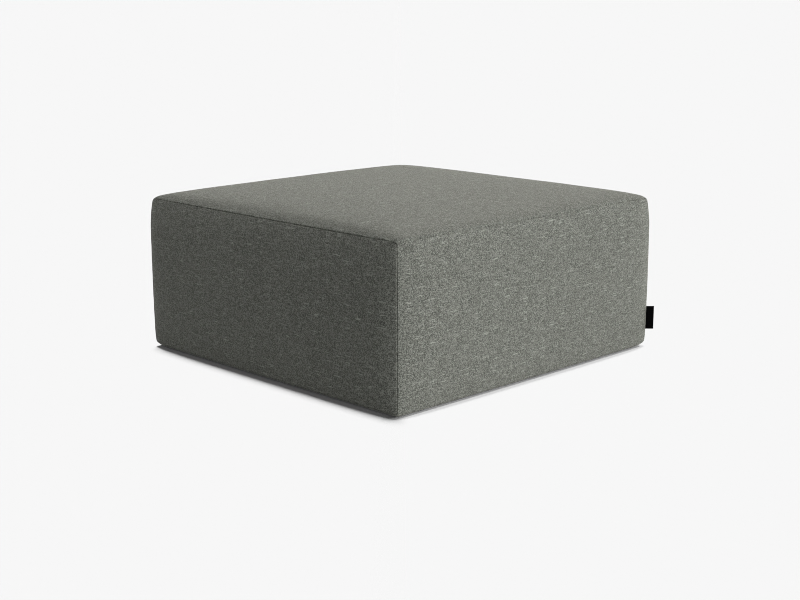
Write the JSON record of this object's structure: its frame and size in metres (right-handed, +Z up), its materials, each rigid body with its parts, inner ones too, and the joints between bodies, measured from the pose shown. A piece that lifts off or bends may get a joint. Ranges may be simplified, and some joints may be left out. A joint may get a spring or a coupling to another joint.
{
  "type": "cube pouf stool",
  "caption": "Low square pouf stool: a filled block in a sewn woven cover with seamed edges and a folded flag label in one corner seam.",
  "frame": {"origin": "centre of the underside, on the floor", "axes": "+Z up; the walls face -X, +X, -Y and +Y, and the label is in the corner seam between the +X and +Y walls"},
  "size_m": [0.8296, 0.8296, 0.3697],
  "materials": {
    "cover_fabric": "matt plain weave in grey-green melange yarn",
    "label_tape": "fine black satin-woven tape"
  },
  "bodies": {
    "root": {"pouf_body": "cover_fabric", "label": "label_tape"}
  },
  "joints": []
}
